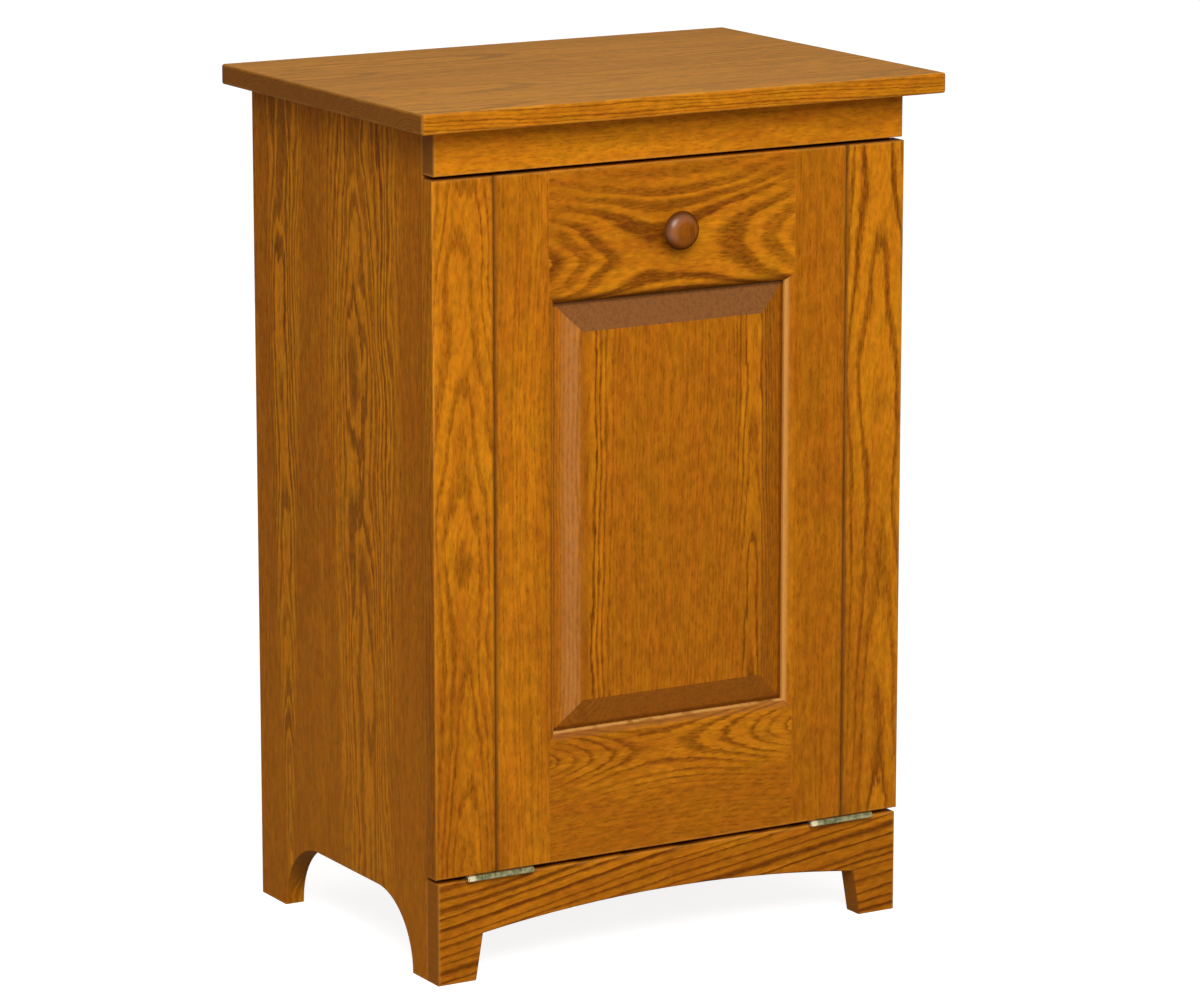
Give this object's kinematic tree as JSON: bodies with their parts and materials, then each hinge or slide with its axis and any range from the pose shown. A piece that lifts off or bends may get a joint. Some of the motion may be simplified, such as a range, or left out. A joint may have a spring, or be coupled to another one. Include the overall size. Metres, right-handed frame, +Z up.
{
  "type": "tilt-out trash bin cabinet",
  "caption": "Free-standing oak cabinet whose framed raised-panel front tilts forward on bottom butt hinges and carries a cradle with a lift-out waste bin.",
  "frame": {"origin": "on the floor, under the middle of the top board's outline", "axes": "+Z up, -Y out of the front, +X to the right of a person facing the front"},
  "size_m": [0.52, 0.372, 0.762],
  "materials": {
    "stained_oak": "satin lacquer over honey stain",
    "knob_wood": "gloss lacquer over darker stain",
    "bare_wood": "planed, unfinished",
    "plywood": "sanded, sealed",
    "aged_brass": "satin, aged",
    "zinc_steel": "zinc plated",
    "magnet": "ground",
    "catch_plastic": "moulded, matt",
    "bumper_rubber": "matt",
    "bin_plastic": "moulded, fine grain"
  },
  "bodies": {
    "case": {"top_board": "stained_oak", "left_side": "stained_oak", "right_side": "stained_oak", "front_rail": "stained_oak", "front_apron": "stained_oak", "bottom_panel": "plywood", "back_panel": "plywood", "left_top_cleat": "bare_wood", "right_top_cleat": "bare_wood", "rear_stretcher": "bare_wood", "left_corner_block": "bare_wood", "right_corner_block": "bare_wood", "left_hinge_case_leaf": "aged_brass", "right_hinge_case_leaf": "aged_brass", "left_hinge_pin": "aged_brass", "right_hinge_pin": "aged_brass", "hinge_case_screws": "aged_brass", "top_screws": "zinc_steel", "cleat_screws": "zinc_steel", "back_nails": "zinc_steel", "left_catch_housing": "catch_plastic", "right_catch_housing": "catch_plastic", "left_catch_magnet": "magnet", "right_catch_magnet": "magnet", "catch_screws": "zinc_steel", "door_bumpers": "bumper_rubber"},
    "door": {"left_outer_stile": "stained_oak", "right_outer_stile": "stained_oak", "left_stile": "stained_oak", "right_stile": "stained_oak", "door_top_rail": "stained_oak", "door_bottom_rail": "stained_oak", "door_panel": "stained_oak", "knob": "knob_wood", "knob_screw": "zinc_steel", "left_hinge_door_leaf": "aged_brass", "right_hinge_door_leaf": "aged_brass", "hinge_door_screws": "aged_brass", "left_strike_plate": "zinc_steel", "right_strike_plate": "zinc_steel", "strike_screws": "zinc_steel", "cradle_floor": "plywood", "cradle_left_side": "plywood", "cradle_right_side": "plywood", "cradle_left_cleat": "bare_wood", "cradle_right_cleat": "bare_wood", "cradle_lower_slat": "plywood", "cradle_upper_slat": "plywood", "cradle_cleat_screws": "zinc_steel", "cradle_screws": "zinc_steel"},
    "bin": {"waste_bin": "bin_plastic"}
  },
  "joints": [
    {"name": "door_tilt", "type": "hinge", "parent": "case", "child": "door", "pos_m": [0, -0.16, 0.0929], "axis": [1, 0, 0], "range_deg": [0, 27]},
    {"name": "bin_lift", "type": "slide", "parent": "door", "child": "bin", "axis": [0, 0, 1], "range_m": [0, 0.14]}
  ]
}
